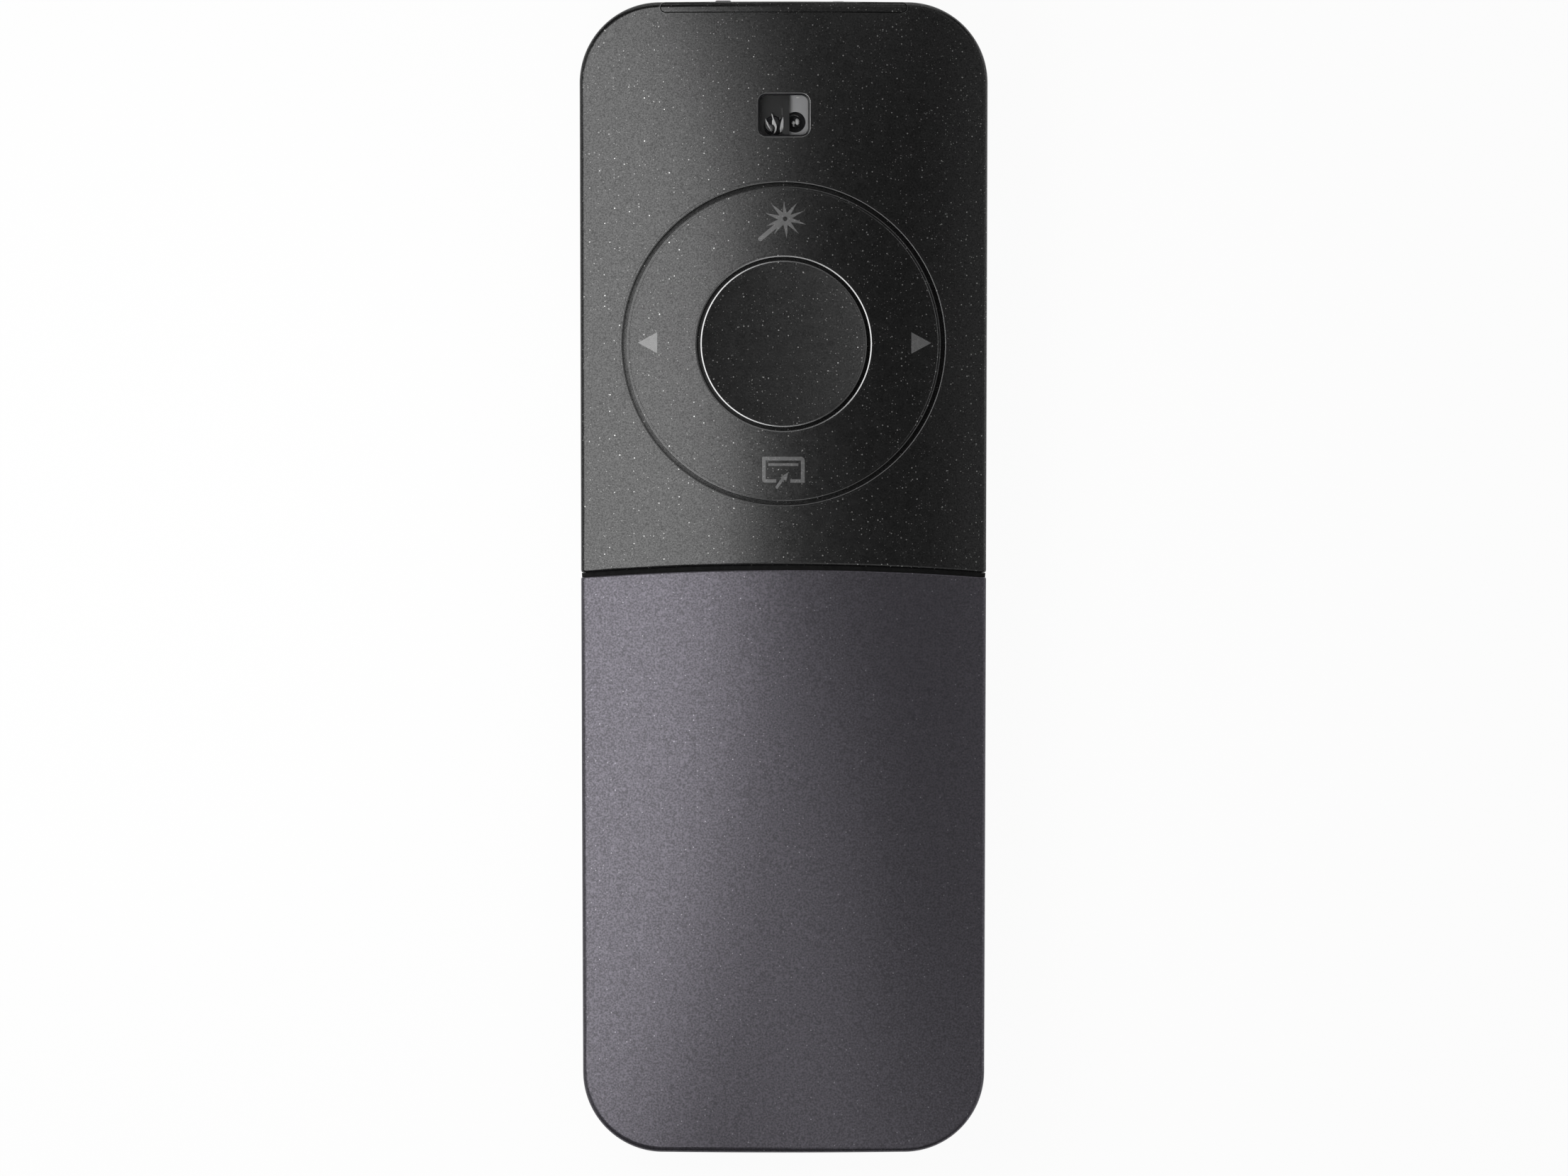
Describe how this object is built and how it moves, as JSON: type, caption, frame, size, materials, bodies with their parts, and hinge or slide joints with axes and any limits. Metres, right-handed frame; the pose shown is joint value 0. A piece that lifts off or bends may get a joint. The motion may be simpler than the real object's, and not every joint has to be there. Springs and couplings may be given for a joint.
{
  "type": "wireless presentation clicker",
  "caption": "Slim wireless presentation clicker with a tilting rocker ring, a dished centre key, a sensor window and, on the other side, hinged mouse buttons.",
  "frame": {"origin": "middle of the footprint, on the surface that the belly rests on", "axes": "+X to the right and +Y towards the nose with the sensor window, both as seen with the presenter face up; +Z out of the presenter face"},
  "size_m": [0.0402, 0.1132, 0.0141],
  "materials": {
    "black_plastic": "satin with sparkle flakes",
    "grey_plastic": "satin metallic",
    "key_plastic": "satin with sparkle flakes",
    "gloss_black": "gloss",
    "frame_plastic": "matt",
    "pom": "matt",
    "window": "clear tinted",
    "clear": "clear",
    "steel": "bright",
    "dome_steel": "bright",
    "board": "solder mask",
    "chip": "matt",
    "film": "film",
    "cell": "laminate foil",
    "foam": "foam",
    "red_wire": "insulation",
    "black_wire": "insulation",
    "white_plastic": "nylon",
    "ceramic": "ceramic"
  },
  "bodies": {
    "case": {"front_cover": "black_plastic", "rear_cover": "grey_plastic", "palm_cover": "grey_plastic", "chassis": "frame_plastic", "touch_strip": "gloss_black", "button_axle": "steel", "touch_film": "film", "dome_up": "dome_steel", "dome_down": "dome_steel", "dome_left": "dome_steel", "dome_right": "dome_steel", "dome_center": "dome_steel", "sensor_lens": "window", "sensor_shroud": "frame_plastic", "sensor_chip": "chip", "illumination_led": "clear", "glide_strip": "black_plastic", "main_board": "board", "board_screws": "steel", "case_screws": "steel", "radio_module": "steel", "gyro_chip": "chip", "charger_chip": "chip", "film_connector": "white_plastic", "board_capacitors": "ceramic", "antenna": "steel", "mouse_switch_left": "chip", "mouse_switch_right": "chip", "usb_shell": "steel", "usb_tongue": "chip", "power_switch": "steel", "pairing_switch": "steel", "status_led": "clear", "status_light_pipe": "clear", "battery": "cell", "battery_pad": "foam", "battery_guard": "film", "battery_lead_red": "red_wire", "battery_lead_black": "black_wire", "battery_plug": "white_plastic", "battery_header": "white_plastic"},
    "ring_carrier": {"ring_carrier": "pom"},
    "ring": {"ring_button": "key_plastic"},
    "center_button": {"center_button": "key_plastic"},
    "power_slider": {"power_knob": "gloss_black", "power_switch_lever": "pom"},
    "pairing_button": {"pairing_button": "frame_plastic", "pairing_plunger": "pom"},
    "mouse_button_left": {"mouse_button_left": "black_plastic"},
    "mouse_button_right": {"mouse_button_right": "black_plastic"},
    "mouse_plunger_left": {"mouse_plunger_left": "white_plastic"},
    "mouse_plunger_right": {"mouse_plunger_right": "white_plastic"}
  },
  "joints": [
    {"name": "ring_tilt_front_back", "type": "hinge", "parent": "case", "child": "ring_carrier", "pos_m": [0, 0.0229, 0.009], "axis": [1, 0, 0], "range_deg": [-1, 1], "stiffness_Nm_per_rad": 1, "deforming": ["dome_up", "dome_down"]},
    {"name": "ring_tilt_left_right", "type": "hinge", "parent": "ring_carrier", "child": "ring", "pos_m": [0, 0.0229, 0.009], "axis": [0, 1, 0], "range_deg": [-1, 1], "stiffness_Nm_per_rad": 1, "deforming": ["dome_left", "dome_right"]},
    {"name": "center_press", "type": "slide", "parent": "case", "child": "center_button", "axis": [0, 0, -1], "range_m": [0, 0.0002], "stiffness_N_per_m": 3000, "springref_m": -0.0001, "deforming": ["dome_center"]},
    {"name": "power_slide", "type": "slide", "parent": "case", "child": "power_slider", "axis": [-1, 0, 0], "range_m": [0, 0.0016]},
    {"name": "pairing_press", "type": "slide", "parent": "case", "child": "pairing_button", "axis": [0, -1, 0], "range_m": [0, 0.00025], "stiffness_N_per_m": 3000, "springref_m": -0.0001},
    {"name": "left_click", "type": "hinge", "parent": "case", "child": "mouse_button_left", "pos_m": [0, 0.0052, 0.0032], "axis": [1, 0, 0], "range_deg": [0, 0.5], "stiffness_Nm_per_rad": 2, "springref_deg": -0.23},
    {"name": "right_click", "type": "hinge", "parent": "case", "child": "mouse_button_right", "pos_m": [0, 0.0052, 0.0032], "axis": [1, 0, 0], "range_deg": [0, 0.5], "stiffness_Nm_per_rad": 2, "springref_deg": -0.23},
    {"name": "left_plunger", "type": "slide", "parent": "case", "child": "mouse_plunger_left", "axis": [0, 0, 1], "range_m": [0, 0.00022]},
    {"name": "right_plunger", "type": "slide", "parent": "case", "child": "mouse_plunger_right", "axis": [0, 0, 1], "range_m": [0, 0.00022]}
  ],
  "couplings": [
    {"joint": "left_plunger", "follows": "left_click", "m_per_rad": 0.0248},
    {"joint": "right_plunger", "follows": "right_click", "m_per_rad": 0.0248}
  ]
}
